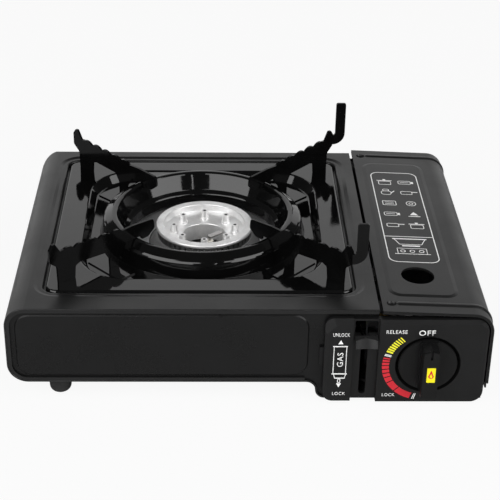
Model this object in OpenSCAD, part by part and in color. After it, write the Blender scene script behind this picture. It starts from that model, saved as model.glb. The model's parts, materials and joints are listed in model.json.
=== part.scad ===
// Portable butane cassette stove: a pressed steel body with a drip tray, four pan
// support arms and a die-cast burner on the left, and a cartridge bay with a hinged
// cover, regulator, knob and locking lever on the right.
// Millimetres. +X is to the right, +Y to the back, +Z up. The origin is on the table,
// under the middle of the stove.

/* [Body] */
// Overall width, from the left side to the cover's ribs
body_w = 341; // [337:1:346]
// Depth of the steel body
body_d = 254; // [252:1:258]
// Height of the top above the table
top_z = 76; // [75:0.5:78]
// Height of the underside on the burner side
left_floor_z = 15.6; // [15:0.1:17]
// Height of the underside below the cartridge bay
right_floor_z = 2; // [1.5:0.1:3]
// Radius of the body's left corners
corner_r = 14.5; // [13:0.5:18]
// Thickness of the body's sheet steel
sheet = 1.2; // [1:0.1:1.3]
// Where the fixed top ends and the cartridge cover begins
split_x = 90; // [89:0.5:91]

/* [Drip tray and arms] */
// Middle of the arms and the tray's ring, to the left
tray_x = -34.5; // [-35.5:0.1:-33.5]
// Middle of the arms and the tray's ring, behind the middle
tray_y = 4.2; // [3.5:0.1:5]
// Width of the drip tray
tray_w = 217.6; // [216:0.2:219]
// Depth of the drip tray
tray_d = 210; // [208:1:211]
// Height of the tray's flat rim
tray_z = 75; // [74.5:0.1:75.5]
// Angle of the arms to the stove's width
arm_angle = 43.3; // [43:0.1:45]
// Thickness of an arm
arm_t = 1.8; // [1.5:0.1:2]
// Height of the pan stop on the front right arm
front_post_z = 126.6; // [120:0.2:130]
// Height of the pan stop on the rear right arm
rear_post_z = 131; // [120:1:134]

/* [Burner] */
// Burner axis, to the left of the middle
burner_x = -33; // [-34:0.1:-32.5]
// Burner axis, behind the middle
burner_y = 4.7; // [4:0.1:5.5]
// Radius of the burner's rim
burner_r = 37.5; // [37:0.1:38.5]
// Height of the burner's rim
burner_z = 73; // [72:0.1:74]
// Number of flame ports round the burner
ports = 48; // [36:4:56]
// Number of pilot posts inside the burner
pilots = 8; // [8:8]

/* [Controls] */
// Knob axis, from the middle to the right
knob_x = 124.7; // [124:0.1:126]
// Knob axis, above the table
knob_z = 33.7; // [33:0.1:35]
// Radius of the knob's disc
knob_r = 20.7; // [20:0.1:21.3]
// How far the knob's bar stands out from the steel front
knob_reach = 18.5; // [17:0.5:20]
// Front of the control panel's moulding, from the steel front
panel_reach = 5; // [4.5:0.1:5.5]

/* [Cartridge bay] */
// Cartridge axis, from the middle to the right
can_x = 125.7; // [125:0.1:127]
// Cartridge axis, above the table
can_z = 39.2; // [39.2:0.1:39.5]
// Radius of the cartridge
can_r = 33.5; // [33:0.1:33.8]
// Radius of the seat that takes the cartridge's collar
seat_r = 12.2; // [12:0.1:12.5]
// How far the lock moves the cartridge
lock_travel = 4.9; // [4.5:0.1:5.2]

/* [Hidden] */
$fn = 48;
eps = 0.01;

front_y = -body_d / 2;
back_y = body_d / 2;
cover_front_y = front_y - 2;
cover_back_y = back_y + 5;
// The origin lies midway between the knob's front and the cover's back edge
shift_y = (knob_reach - 5) / 2;

// Colours
black_paint = [0.17, 0.17, 0.18];
black_enamel = [0.08, 0.08, 0.09];
black_plastic = [0.13, 0.13, 0.14];
zinc = [0.72, 0.73, 0.74];
alloy = [0.82, 0.83, 0.84];
brass = [0.78, 0.62, 0.3];
nylon = [0.85, 0.84, 0.8];
rubber = [0.1, 0.1, 0.1];
ceramic = [0.93, 0.91, 0.86];

// Body section
step_x = 39.9;
step_r = (left_floor_z - right_floor_z) / 2;
cover_t = 1.2;
cover_rib = 0.9;
cover_x = body_w / 2 - cover_rib;
cover_r = 15;
cover_fall = 2.2;
cover_cx = cover_x - cover_r;
cover_cz = top_z - (cover_cx - split_x) * tan(cover_fall) - cover_r / cos(cover_fall);
cover_low = 8.7;
bay_right = cover_x - cover_t - 0.6;
bay_r = 12;
bay_top = top_z - 5.5;
shell_edge_x = split_x - 1.2;
cover_edge_x = split_x + 1.2;
plan_r = 16;
back_edge_r = 1.5;
hem_r = 0.6;
hem_in = 0.7;
flange = 3.6;
bay_floor = right_floor_z + 2 * sheet;
left_floor = left_floor_z + 2 * sheet;
front_in = 1.5;

// Tray pocket and tray
pocket_gap = 2;
pocket_z = 71;
tray_t = 1;
tray_r = 8;
rim_shift = [-1.2, -0.9];
dish_x = 90.3;
dish_y = 88;
dish_r = 38;
dish_z = 68.2;
bead_z = 85;
pad_z = 69.2;
slot_play = 0.15;

// Control panel
panel_y = front_y - panel_reach;
panel_bottom = 2.4;
panel_top = 70.6;
lever_x0 = 71.2;
lever_x1 = 89.3;
slot_x = 79.5;
slot_w = 4.9;
panel_right = 166;
recess_y = panel_y + 3;
knob_well = 2.3;
face_top = 66.6;
face_fall = [1.8, 3.9];

// The knob turns the spindle and a cam that presses the igniter's plunger
knob_turn = 160;
cam_r = 7;
cam_lift = 3;
plunger_r = 1.6;
plunger_y = -121.6;

// Lever: it swings about a pin along X, behind the front
lever_y = -80;
lever_z = 34;
lever_t = 1.2;
lever_rest = 20.2;
lever_tip = 60;
lever_tab_in = 54.6;
tab_x0 = 72.4;
tab_x1 = 88.1;
lever_in_x = slot_x - lever_t / 2;
fork_pin_r = 2;
fork_pin_y = lever_y + lock_travel / 2;
fork_pin_z = lever_z + lock_travel / 2 / tan(lever_rest);

// Gas line from the burner to the regulator, seen from above
gas_angle = -39;
gas_z = 49;
outlet_z = 53;
jet_far = 112;
tube_far = 100;
outlet_x = 103;
outlet_y = burner_y + (outlet_x - burner_x) * tan(gas_angle);
seat_y = -88;
seat_deep = 7;

// Cover hinge along Y, low on the right
hinge_x = cover_x - 5;
hinge_z = 9.5;
hinge_r = 3;
hinge_pin_r = 1.5;
hinge_y = 117;

// ---------- Outlines ----------

function unit(v) = v / norm(v);
function turn(a) = a > 180 ? a - 360 : a < -180 ? a + 360 : a;
function xy(p) = [p[0], p[1]];
function dir(v) = atan2(v[1], v[0]);

// The corner at p, between a and b, as an arc of radius r
function corner(a, p, b, r, n) =
    r <= 0 ? [p] :
    let (u = unit(a - p), v = unit(b - p), half = acos(u * v) / 2)
    let (c = p + unit(u + v) * r / sin(half), t = r / tan(half))
    let (from = dir(p + u * t - c), sweep = turn(dir(p + v * t - c) - from))
    [for (i = [0:n]) c + r * [cos(from + sweep * i / n), sin(from + sweep * i / n)]];

// An open line through [x, y, radius] points with its inner corners rounded
function soft_line(p, n = 5) = [
    for (i = [0:len(p) - 1])
        each (i == 0 || i == len(p) - 1) ? [xy(p[i])]
            : corner(xy(p[i - 1]), xy(p[i]), xy(p[i + 1]), p[i][2], n)
];

// A closed outline through [x, y, radius] points with its corners rounded
function soft_loop(p, n = 5) = [
    for (i = [0:len(p) - 1])
        each corner(xy(p[(i + len(p) - 1) % len(p)]), xy(p[i]), xy(p[(i + 1) % len(p)]), p[i][2], n)
];

function left_of(v) = [-v[1], v[0]];
function along(p, i) = unit(p[min(i + 1, len(p) - 1)] - p[max(i - 1, 0)]);
function beside(p, i, d) =
    let (k = min(max(i, 1), len(p) - 1), one = unit(p[k] - p[k - 1]))
    p[i] + left_of(along(p, i)) * d / max(0.5, left_of(along(p, i)) * left_of(one));

// The outline of a sheet of thickness t whose middle follows the line p
function sheet_line(p, t) = concat(
    [for (i = [0:len(p) - 1]) beside(p, i, t / 2)],
    [for (i = [len(p) - 1:-1:0]) beside(p, i, -t / 2)]
);

module soft_rect(low, high, r) {
    w = high[0] - low[0];
    h = high[1] - low[1];
    if (w - 2 * r > eps) translate([low[0] + r, low[1]]) square([w - 2 * r, h]);
    if (h - 2 * r > eps) translate([low[0], low[1] + r]) square([w, h - 2 * r]);
    for (x = [low[0] + r, high[0] - r], y = [low[1] + r, high[1] - r])
        translate([x, y]) circle(r);
}

// A rounded rectangle about the origin, by its half sizes
module soft_square(hx, hy, r) {
    soft_rect([-hx, -hy], [hx, hy], r);
}

// ---------- Placing ----------

module placed(c) {
    translate([0, shift_y, 0]) color(c) children();
}

// A plate seen from the front, between two depths
module front_plate(y0, y1) {
    translate([0, y1, 0]) rotate([90, 0, 0]) linear_extrude(y1 - y0) children();
}

// A plate seen from the right, drawn with Y across and Z up, between two widths
module side_plate(x0, x1) {
    translate([x0, 0, 0]) rotate([90, 0, 90]) linear_extrude(x1 - x0) children();
}

// A plate seen from above, between two heights
module flat_plate(z0, z1) {
    translate([0, 0, z0]) linear_extrude(z1 - z0) children();
}

module block(low, high) {
    translate(low) cube(high - low);
}

module rod(from, to, r) {
    v = to - from;
    translate(from) rotate([0, acos(v[2] / norm(v)), atan2(v[1], v[0])])
        cylinder(h = norm(v), r = r);
}

module rod_y(x, z, y0, y1, r) {
    translate([x, y1, z]) rotate([90, 0, 0]) cylinder(h = y1 - y0, r = r);
}

module rod_x(y, z, x0, x1, r) {
    translate([x0, y, z]) rotate([0, 90, 0]) cylinder(h = x1 - x0, r = r);
}

module tube_z(z0, z1, r_out, r_in) {
    translate([0, 0, z0]) difference() {
        cylinder(h = z1 - z0, r = r_out);
        translate([0, 0, -1]) cylinder(h = z1 - z0 + 2, r = r_in);
    }
}

// Sweeps a profile round a rounded rectangle: its x runs outwards from the line
module swept(hx, hy, r) {
    for (q = [0:3])
        translate([(q == 0 || q == 3 ? 1 : -1) * (hx - r), (q < 2 ? 1 : -1) * (hy - r), 0])
            rotate(90 * q) rotate_extrude(angle = 90) translate([r, 0]) children();
    for (a = [0, 180]) {
        rotate(a) translate([hx, hy - r, 0]) rotate([90, 0, 0])
            linear_extrude(2 * (hy - r)) children();
        rotate(a + 90) translate([hy, hx - r, 0]) rotate([90, 0, 0])
            linear_extrude(2 * (hx - r)) children();
    }
}

module at_burner() {
    translate([burner_x, burner_y, 0]) children();
}

// ---------- Body ----------

// The body's outline seen from the front, taken in by e; it is lower under the cover
module section(e) {
    top = top_z - e;
    floor_left = left_floor_z + e;
    step_z = right_floor_z + step_r;
    step_end = step_x + 2 * step_r;
    soft_rect([-body_w / 2 + e, floor_left], [0, top], corner_r - e);
    translate([-body_w / 4, floor_left]) square([body_w / 4 + step_x, top - floor_left]);
    difference() {
        translate([step_x, step_z]) square([shell_edge_x - step_x, top - step_z]);
        translate([step_x, step_z]) circle(step_r + e);
    }
    translate([step_end, step_z]) circle(step_r - e);
    translate([step_end, right_floor_z + e])
        square([bay_right - e - step_end, bay_top - bay_r - right_floor_z - e]);
    translate([shell_edge_x - 1, right_floor_z + e])
        square([bay_right - bay_r - shell_edge_x + 1, bay_top - right_floor_z - 2 * e]);
    translate([bay_right - bay_r, bay_top - bay_r]) circle(bay_r - e);
}

// The whole body as a solid with a rounded rear left corner, open at the front if open > 0
module envelope(e, open = 0) {
    intersection() {
        front_plate(front_y - open, back_y) section(e);
        flat_plate(-1, top_z + 1) union() {
            soft_rect([-body_w / 2 + e, front_y - 60], [100, back_y - e], plan_r - e);
            translate([0, front_y - 60]) square([body_w / 2, back_y - e - front_y + 60]);
        }
        side_plate(-body_w / 2 - 1, body_w / 2 + 1) union() {
            soft_rect([front_y - 60, -60], [back_y - e, top_z - e], max(0.2, back_edge_r - e));
        }
    }
}

// The middle of the tray's ring and arms
module at_tray() {
    translate([tray_x, tray_y, 0]) children();
}

// The middle of the tray's square rim
module at_rim() {
    translate([tray_x + rim_shift[0], tray_y + rim_shift[1], 0]) children();
}

module pocket_line(d) {
    at_rim() soft_square(tray_w / 2 + d, tray_d / 2 + d, tray_r + d);
}

module vent_slots(xs, ys, z0, z1, l, w) {
    for (x = xs, y = ys) flat_plate(z0, z1) translate([x, y]) soft_square(l / 2, w / 2, w / 2);
}

module body_shell() placed(black_paint) {
    pocket_out = pocket_gap + 7;
    difference() {
        envelope(0);
        envelope(sheet, 10);
        // the cartridge bay is open above the floor and on the right
        block([shell_edge_x, front_y - 1, right_floor_z + sheet], [body_w, back_y - sheet, top_z + 1]);
        block([bay_right - 2.2, front_y - 1, 0], [body_w, back_y - sheet, top_z + 1]);
        flat_plate(top_z - 2 * sheet, top_z + 1) pocket_line(pocket_out);
        // the underside is closed from inside by the base plate
        flat_plate(0, left_floor_z + 2 * sheet)
            soft_rect([-body_w / 2 + 30, front_y + 16], [step_x - 10, back_y - 16], 8);
        flat_plate(0, right_floor_z + 2 * sheet)
            soft_rect([step_x + 2 * step_r + 6, front_y + 16], [bay_right - 16, back_y - 16], 8);
        // louvres low in the back
        for (i = [-3:3])
            front_plate(back_y - 2 * sheet, back_y + 1)
                translate([burner_x + 22 * i, 42]) soft_square(2, 11, 2);
    }
    // the sunk pocket round the tray, with a ledge that carries it
    intersection() {
        at_rim()
            swept(tray_w / 2 + pocket_gap, tray_d / 2 + pocket_gap, tray_r + pocket_gap)
                polygon(sheet_line(soft_line([
                    [8, top_z - sheet / 2], [6.4, top_z - sheet / 2, 2],
                    [3.8, top_z - sheet / 2 - 0.9, 2], [sheet / 2, top_z - sheet / 2 - 0.9, 0.9],
                    [sheet / 2, pocket_z - sheet / 2, 1], [-6.5, pocket_z - sheet / 2]
                ]), sheet));
        block([-body_w / 2, front_y, 0], [shell_edge_x, back_y, top_z]);
    }
    // the front edge: turned in as a flange, with a rolled corner
    intersection() {
        union() {
            front_plate(front_y, front_y + sheet) difference() {
                section(0);
                section(flange);
            }
            translate([0, front_y + 0.1, (top_z + left_floor_z) / 2]) rotate([90, 0, 0])
                swept(body_w / 2, (top_z - left_floor_z) / 2, corner_r)
                    translate([-hem_in, 0]) circle(hem_r);
        }
        union() {
            block([-body_w, front_y - 2, 0], [step_x - 1, front_y + 2, top_z + 1]);
            block([step_x - 2, front_y - 2, panel_top + 0.5], [shell_edge_x, front_y + 2, top_z + 1]);
        }
    }
}

module base_plate() placed(black_paint) {
    difference() {
        intersection() {
            difference() {
                envelope(sheet + 0.02);
                envelope(2 * sheet, 10);
            }
            block([-body_w / 2 + 20, front_y + 6, 0], [bay_right - 14, back_y - 10, left_floor + eps]);
        }
        vent_slots([for (i = [-2:2]) burner_x + 26 * i], [-54, 62], 0, left_floor + 1, 18, 4);
    }
}

module front_panel() placed(black_paint) {
    face_y = front_y + front_in;
    raised = 1.1;
    middle = [(-163.7 + 41) / 2, (20.6 + 70.9) / 2];
    half = [(163.7 + 41) / 2, (70.9 - 20.6) / 2];
    front_plate(face_y, face_y + sheet) difference() {
        section(sheet + 0.05);
        translate([middle[0], middle[1]]) soft_square(half[0] - 2, half[1] - 2, 9);
        translate([knob_x, knob_z]) circle(12.5);
        translate([slot_x, 33]) soft_square(5, 29, 4);
        soft_rect([lever_x0 + 0.6, 45], [lever_x1 - 0.4, 68.2], 3);
    }
    // the raised field
    front_plate(face_y - raised, face_y - raised + sheet)
        translate([middle[0], middle[1]]) soft_square(half[0] - 1.9, half[1] - 1.9, 9.1);
    translate([middle[0], face_y, middle[1]]) rotate([90, 0, 0]) swept(half[0], half[1], 11)
        polygon(sheet_line(soft_line([
            [0.6, -sheet / 2], [-0.4, -sheet / 2, 0.5], [-1.4, raised - sheet / 2, 0.5],
            [-2.6, raised - sheet / 2]
        ], 3), sheet));
    // the turned-back top edge
    block([-body_w / 2 + corner_r, face_y + sheet, top_z - 2 * sheet - 0.05],
        [shell_edge_x - 1, face_y + 9, top_z - sheet - 0.05]);
}

module bay_wall() placed(zinc) {
    wall_x = split_x - 4.4;
    side_plate(wall_x, wall_x + sheet) difference() {
        translate([-87, bay_floor]) square([back_y - sheet - 0.3 + 87, top_z - sheet - bay_floor]);
        translate([lever_y, lever_z]) circle(2.5);
        translate([lever_y, fork_pin_z]) soft_square(lock_travel / 2 + fork_pin_r + 0.7, 2.6, 2.6);
        for (i = [0:5]) translate([-40 + 26 * i, 52]) soft_square(7, 2, 2);
    }
    block([wall_x - 9, -60, bay_floor], [wall_x + eps, back_y - 12, bay_floor + sheet]);
    block([wall_x, -84, top_z - 2 * sheet], [shell_edge_x - 0.2, back_y - 6, top_z - sheet]);
}

module cartridge_cradle() placed(zinc) {
    low = bay_floor + sheet;
    flat_plate(bay_floor, low) soft_rect([can_x - 26, -44], [can_x + 26, 96], 4);
    for (y = [-40, 88])
        front_plate(y, y + 1.6) difference() {
            translate([can_x - 27, bay_floor]) square([54, 12]);
            translate([can_x, can_z]) circle(can_r + 0.2);
        }
}

module heat_shield() placed(alloy) {
    at_burner() difference() {
        union() {
            tube_z(57, 57.8, 66, 42.9);
            tube_z(54, 57.8, 66, 65.2);
            for (a = [20, 140, 250]) rotate(a) block([58, -6, left_floor], [59.2, 6, 57.4]);
            for (a = [20, 140, 250])
                rotate(a) block([58, -6, left_floor], [68, 6, left_floor + sheet]);
        }
        rotate(gas_angle) block([30, -9.5, 50], [80, 9.5, 60]);
    }
}

// ---------- Controls ----------

module panel_field() {
    top = panel_top - 0.6;
    soft_rect([lever_x1, panel_bottom], [panel_right - 0.4, top], 9);
    translate([lever_x1, panel_bottom]) square([30, 30]);
    translate([lever_x1, top - 20]) square([30, 20]);
}

module left_block() {
    soft_rect([51.5, panel_bottom + 0.6], [lever_x0, panel_top], 7);
    translate([lever_x0 - 8, panel_bottom + 0.6]) square([8, panel_top - panel_bottom - 0.6]);
}

// Takes away the slope beyond a moulding's face, along an edge through (x, z) that is
// turned by a from level, seen from the front
module sloped_edge(x, z, a) {
    translate([x, 0, z]) rotate([0, -a, 0]) side_plate(-80, 80) polygon([
        [panel_y - face_fall[0], -face_fall[1]], [panel_y + 2 * face_fall[0], 2 * face_fall[1]],
        [panel_y + 2 * face_fall[0], 40], [panel_y - face_fall[0], 40]
    ]);
}

module control_panel() placed(black_plastic) {
    back = front_y + front_in - 0.02;
    foot = front_y - 0.02;
    difference() {
        union() {
            front_plate(recess_y, foot)
                soft_rect([52, panel_bottom + 1.2], [panel_right - 1.2, panel_top - 1], 9);
            difference() {
                front_plate(panel_y, foot) panel_field();
                sloped_edge(knob_x, face_top, 0);
                sloped_edge(panel_right - 4.2, face_top - 1.6, -45);
                sloped_edge(panel_right - 1.4, knob_z, -90);
            }
            difference() {
                front_plate(panel_y, foot) left_block();
                sloped_edge(slot_x, face_top - 0.9, 0);
                sloped_edge(57.3, 63.6, 45);
                sloped_edge(53.4, knob_z, 90);
            }
            // the part that stands inside the body's front
            front_plate(foot - eps, back) soft_rect([53, 3.6], [164.5, 69], 9);
            // a snap hook at the left
            block([48.6, foot - 0.6, 30.7], [53, back - 0.1, 45.4]);
        }
        // the well round the knob, and the spindle's hole
        rod_y(knob_x, knob_z, panel_y - 1, back - 2, knob_r + knob_well);
        rod_y(knob_x, knob_z, panel_y - 1, back + 1, 8);
        // the lever's slot and the window above it
        front_plate(panel_y - 5, back + 1) translate([slot_x, 33]) soft_square(slot_w / 2, 25.8, slot_w / 2);
        front_plate(panel_y - 5, back + 1) soft_rect([lever_x0 + 1.2, 56.5], [lever_x1 - 0.9, 68.2], 1);
        // hollow back
        front_plate(back - 2.6, back + 1) soft_rect([55, panel_bottom + 5], [69, panel_top - 5], 4);
    }
    // pegs that locate the moulding in the steel front
    for (p = [[98, 10], [152, 8], [152, 62]]) rod_y(p[0], p[1], back - 1, back + 0.015, 2);
}

// The front of the knob's bar, with a blunt point at its top
module bar_face(w, h) {
    polygon(soft_loop([[-w, -h, 1], [w, -h, 1], [w, h - 1.8, 0.8], [0, h, 1.5], [-w, h - 1.8, 0.8]]));
}

module knob() placed(black_plastic) {
    back = front_y + front_in - 2.4;
    bar_w = 11.4;
    bar_h = 39.6;
    tip = front_y - knob_reach;
    difference() {
        union() {
            rod_y(knob_x, knob_z, panel_y + 0.2, back, knob_r);
            rod_y(knob_x, knob_z, panel_y - 0.2, panel_y + 0.2 + eps, knob_r - 0.5);
            front_plate(tip + 0.7, panel_y) translate([knob_x, knob_z]) bar_face(bar_w / 2, bar_h / 2);
            front_plate(tip, tip + 0.7 + eps)
                translate([knob_x, knob_z]) bar_face(bar_w / 2 - 0.4, bar_h / 2 - 0.4);
            // the bar's root widens where it meets the disc
            front_plate(panel_y - 2, panel_y)
                translate([knob_x, knob_z]) soft_square(bar_w / 2 + 0.8, knob_r - 1.2, 2);
        }
        // the pointer's groove
        front_plate(tip - 1, tip + 1.5)
            translate([knob_x, knob_z + bar_h / 2 - 2.5]) soft_square(0.8, 4.6, 0.5);
        // the spindle's hole
        rod_y(knob_x, knob_z, tip + 5, back + 1, 3);
    }
}

module valve_spindle() placed(brass) {
    rod_y(knob_x, knob_z, front_y - knob_reach + 5.2, -104, 2.98);
    rod_y(knob_x, knob_z, -118.4, -117.4, 5);
}

// The cam's edge rises evenly over the knob's turn and drops back behind it
module ignition_cam() placed(nylon) {
    front_plate(-123.8, -119.4) translate([knob_x, knob_z]) difference() {
        polygon([
            for (a = [180:-8:20]) (cam_r + cam_lift * (180 - a) / knob_turn) * [cos(a), sin(a)],
            for (a = [10:-10:-170]) (cam_r + cam_lift * (a > -40 ? (a + 40) / 60 : 0)) * [cos(a), sin(a)]
        ]);
        circle(2.99);
    }
}

module igniter_body() placed(black_plastic) {
    difference() {
        union() {
            front_plate(front_y + front_in + sheet, -112) soft_rect([90.2, 27], [101.8, 40.4], 2);
            block([91.2, -121, 12], [100.8, -114, 27.5]);
        }
        rod_x(plunger_y, knob_z, 91.6, 102, plunger_r + 0.08);
    }
}

module igniter_plunger() placed(nylon) {
    rod_x(plunger_y, knob_z, 95.6, knob_x - cam_r - 0.35, plunger_r);
}

// The lever is drawn level, then turned up to its unlocked place
module lever_pose() {
    translate([0, lever_y, lever_z]) rotate([-lever_rest, 0, 0]) children();
}

module lever_tab() placed(black_plastic) {
    lever_pose() difference() {
        union() {
            side_plate(tab_x0, tab_x1) polygon(soft_loop([
                [-lever_tab_in, -4.6, 0.6], [-lever_tab_in, 4.2, 0.6], [-lever_tab_in - 1.8, 4.4, 0.6],
                [-lever_tip - 0.2, 1.4, 0.8], [-lever_tip - 0.4, -4.6, 0.8]
            ]));
            side_plate(slot_x - 1.9, slot_x + 1.9) translate([-lever_tab_in - eps, -3.6]) square([2.6, 7.2]);
        }
        // the thumb's dish
        translate([(tab_x0 + tab_x1) / 2, -lever_tip - 14.5, 0]) cylinder(h = 30, r = 16, center = true);
        side_plate(lever_in_x, lever_in_x + lever_t)
            translate([-lever_tip + 1.5, -3.5]) square([9, 7]);
    }
}

module lever_plate() placed(zinc) {
    lever_pose() side_plate(lever_in_x, lever_in_x + lever_t) difference() {
        union() {
            circle(6);
            translate([-lever_tip + 1.6, -3.4]) square([lever_tip - 1.6, 6.8]);
            translate([-4, 0]) square([8, 9]);
            translate([0, 9]) circle(4);
        }
        circle(2.55);
        translate([-fork_pin_r - 0.3, fork_pin_z - lever_z - fork_pin_r - 0.35])
            square([2 * fork_pin_r + 0.6, 5.3]);
    }
}

module lever_pin() placed(zinc) {
    wall_x = split_x - 4.4;
    rod_x(lever_y, lever_z, 76.9, wall_x + sheet, 2.5 - 0.01);
    rod_x(lever_y, lever_z, 76, 77.2, 4);
    rod_x(lever_y, lever_z, lever_in_x + lever_t + 0.4, wall_x, 3.6);
}

module collar_fork() placed(zinc) {
    fork_y = -74;
    // the yoke that stands round the cartridge's neck
    front_plate(fork_y, fork_y + 1.6) difference() {
        soft_rect([can_x - 37, 7.4], [can_x + 24, 50], 4);
        translate([can_x, can_z]) circle(14.8);
        translate([can_x - 14.8, can_z]) square([29.6, 30]);
        translate([can_x - 60, -20]) square([31, 48]);
        for (x = [-45.5, 15.5]) translate([can_x + x, -20]) square([30, 30.5]);
    }
    // the foot that slides in the guide
    flat_plate(6.2, 7.4) translate([can_x - 19, -86]) square([38, 14]);
    // the ear and its pin
    side_plate(can_x - 37, can_x - 35.8)
        translate([fork_pin_y - 4, fork_pin_z - 4.5]) square([fork_y + 1.6 - fork_pin_y + 4, 9]);
    rod_x(fork_pin_y, fork_pin_z, lever_in_x - 1.4, can_x - 36.9, fork_pin_r);
}

module fork_guide() placed(zinc) {
    difference() {
        flat_plate(bay_floor, bay_floor + sheet) soft_rect([can_x - 26, -102], [can_x + 26, -58], 3);
        for (x = [-1, 1]) translate([can_x + 23.5 * x, -62, 0]) cylinder(h = 20, r = 1.6);
    }
    for (s = [-1, 1])
        front_plate(-98, -62) polygon([
            for (p = [[19.4, bay_floor + 1], [20.6, bay_floor + 1], [20.6, 9], [16.4, 9], [16.4, 7.8], [19.4, 7.8]])
                [can_x + s * p[0], p[1]]
        ]);
}

// ---------- Gas line ----------

module regulator_body() placed(alloy) {
    difference() {
        union() {
            front_plate(-117, -97) soft_rect([outlet_x, 16], [148, 58], 4);
            rod_y(can_x, can_z, -97.5, seat_y, 16);
            rod_y(knob_x, knob_z, -118.8, -116, 8.5);
            rod([outlet_x + 1, outlet_y - 0.8, outlet_z], [outlet_x - 3, outlet_y + 2.43, outlet_z], 4.2);
            block([117, -116, bay_floor + sheet], [134, -98, 17]);
        }
        rod_y(can_x, can_z, seat_y - seat_deep, seat_y + 1, seat_r);
        rod_y(can_x, can_z, seat_y - seat_deep - 2, seat_y, 6);
        rod_y(can_x, can_z, -103, seat_y, 2.6);
        rod_y(knob_x, knob_z, -130, -103, 3.03);
        rod_y(knob_x, knob_z, -118.5, -117.3, 5.1);
    }
}

module regulator_cap() placed(alloy) {
    translate([can_x, -107, 0]) {
        translate([0, 0, 58]) cylinder(h = 2.4, r = 17);
        translate([0, 0, 60.4 - eps]) cylinder(h = 3, r1 = 11, r2 = 9);
        translate([0, 0, 63]) cylinder(h = 3.2, r = 5);
    }
}

module seat_seal() placed(rubber) {
    front_plate(seat_y - seat_deep - 1.98, seat_y - seat_deep - 0.1) translate([can_x, can_z]) difference() {
        circle(5.98);
        circle(2.8);
    }
}

function gas_point(d, z) = [burner_x + d * cos(gas_angle), burner_y + d * sin(gas_angle), z];

module gas_pipe() placed(brass) {
    rod(gas_point(jet_far + 8, gas_z), [outlet_x - 3.16, outlet_y + 2.56, outlet_z], 2.4);
}

module gas_jet() placed(brass) {
    difference() {
        union() {
            rod(gas_point(jet_far - 4, gas_z), gas_point(jet_far + 2, gas_z), 3);
            rod(gas_point(jet_far, gas_z), gas_point(jet_far + 9, gas_z), 5);
        }
        rod(gas_point(jet_far - 6, gas_z), gas_point(jet_far + 4, gas_z), 0.6);
        rod(gas_point(jet_far + 8 - 0.02, gas_z), gas_point(jet_far + 20, gas_z), 2.6);
    }
}

module mixing_tube() placed(alloy) {
    difference() {
        union() {
            rod(gas_point(41.5, gas_z), gas_point(tube_far, gas_z), 7.5);
            rod(gas_point(tube_far - 12, gas_z), gas_point(tube_far, gas_z), 9);
        }
        rod(gas_point(30, gas_z), gas_point(tube_far + 1, gas_z), 6);
        for (a = [60, 120, 240, 300])
            translate(gas_point(tube_far - 6, gas_z)) rotate([0, 0, gas_angle]) rotate([a, 0, 0])
                translate([0, 0, 4]) cylinder(h = 8, r = 2);
    }
    // the strap that carries the jet in line with the tube
    translate([burner_x, burner_y, 0]) rotate(gas_angle) difference() {
        union() {
            for (s = [-1, 1]) translate([tube_far - 4, s * 8.4 - 0.6, gas_z - 4]) cube([18, 1.2, 8]);
            translate([jet_far - 0.4 + eps, -9, gas_z - 4]) cube([1.2, 18, 8]);
        }
        translate([jet_far - 6, 0, gas_z]) rotate([0, 90, 0]) cylinder(h = 30, r = 5.05);
    }
}

// ---------- Burner ----------

module burner_head() placed(alloy) {
    at_burner() {
        rotate_extrude() polygon(soft_loop([
            [31, burner_z - 0.5, 0.4], [31.5, burner_z, 0.3], [burner_r - 0.8, burner_z, 0.3],
            [burner_r, burner_z - 0.8, 0.3], [burner_r, burner_z - 2.2, 0.3], [33.4, burner_z - 2.2, 0],
            [33, 64.6, 0], [18.4, 60.6, 1], [18.4, 50, 0], [16.7, 50, 0], [16.7, 63.3, 0.8], [31, 67.4, 0.6]
        ], 3));
        for (i = [0:pilots - 1]) rotate(360 * i / pilots - 90) translate([23.5, 0, 0]) difference() {
            union() {
                translate([0, 0, 64]) cylinder(h = 7.6, r1 = 2.9, r2 = 2.4);
                translate([0, 0, 64]) cylinder(h = 2, r = 3.4);
            }
            translate([0, 0, 66]) cylinder(h = 8, r = 0.9);
        }
    }
}

module burner_ring() placed([0.3, 0.3, 0.31]) {
    at_burner() difference() {
        tube_z(64.7, burner_z - 2.22, 36.4, 33.45);
        for (i = [0:ports - 1]) rotate(360 * i / ports) block([32, -0.75, 66.2], [38, 0.75, 69.2]);
    }
}

module burner_base() placed(alloy) {
    at_burner() difference() {
        rotate_extrude() polygon(soft_loop([
            [33.4, 64.68, 0], [36.9, 64.68, 0.3], [37.6, 61.5, 1], [42.3, 57.8, 1.5], [42.4, 54.5, 0.5],
            [40.5, 54, 1], [38, 44, 4], [18.42, 42, 0], [18.42, 44.4, 1], [35.5, 46, 2.5], [37, 56, 1],
            [33.4, 61, 1]
        ], 3));
        rotate(gas_angle) translate([30, 0, gas_z]) rotate([0, 90, 0]) cylinder(h = 20, r = 7.55);
    }
}

module burner_bracket() placed(zinc) {
    at_burner() {
        difference() {
            tube_z(40.8, 42, 30, 19);
            rotate(45) translate([25, 0, 38]) cylinder(h = 10, r = 2);
            rotate(225) translate([25, 0, 38]) cylinder(h = 10, r = 2);
        }
        for (s = [-1, 1]) rotate(90) {
            block([s > 0 ? 28.8 : -30, -10, left_floor], [s > 0 ? 30 : -28.8, 10, 41]);
            block([s > 0 ? 28.8 : -42, -10, left_floor], [s > 0 ? 42 : -28.8, 10, left_floor + sheet]);
        }
    }
}

electrode_at = [4, -6];

module electrode() placed(zinc) {
    at_burner() translate([electrode_at[0], electrode_at[1], 0]) {
        translate([0, 0, 50]) cylinder(h = 14.6, r = 1.1);
        // the bent target strip
        rotate(40) block([-0.8, -2.2, 63.8], [11.5, 2.2, 64.8]);
    }
}

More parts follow.
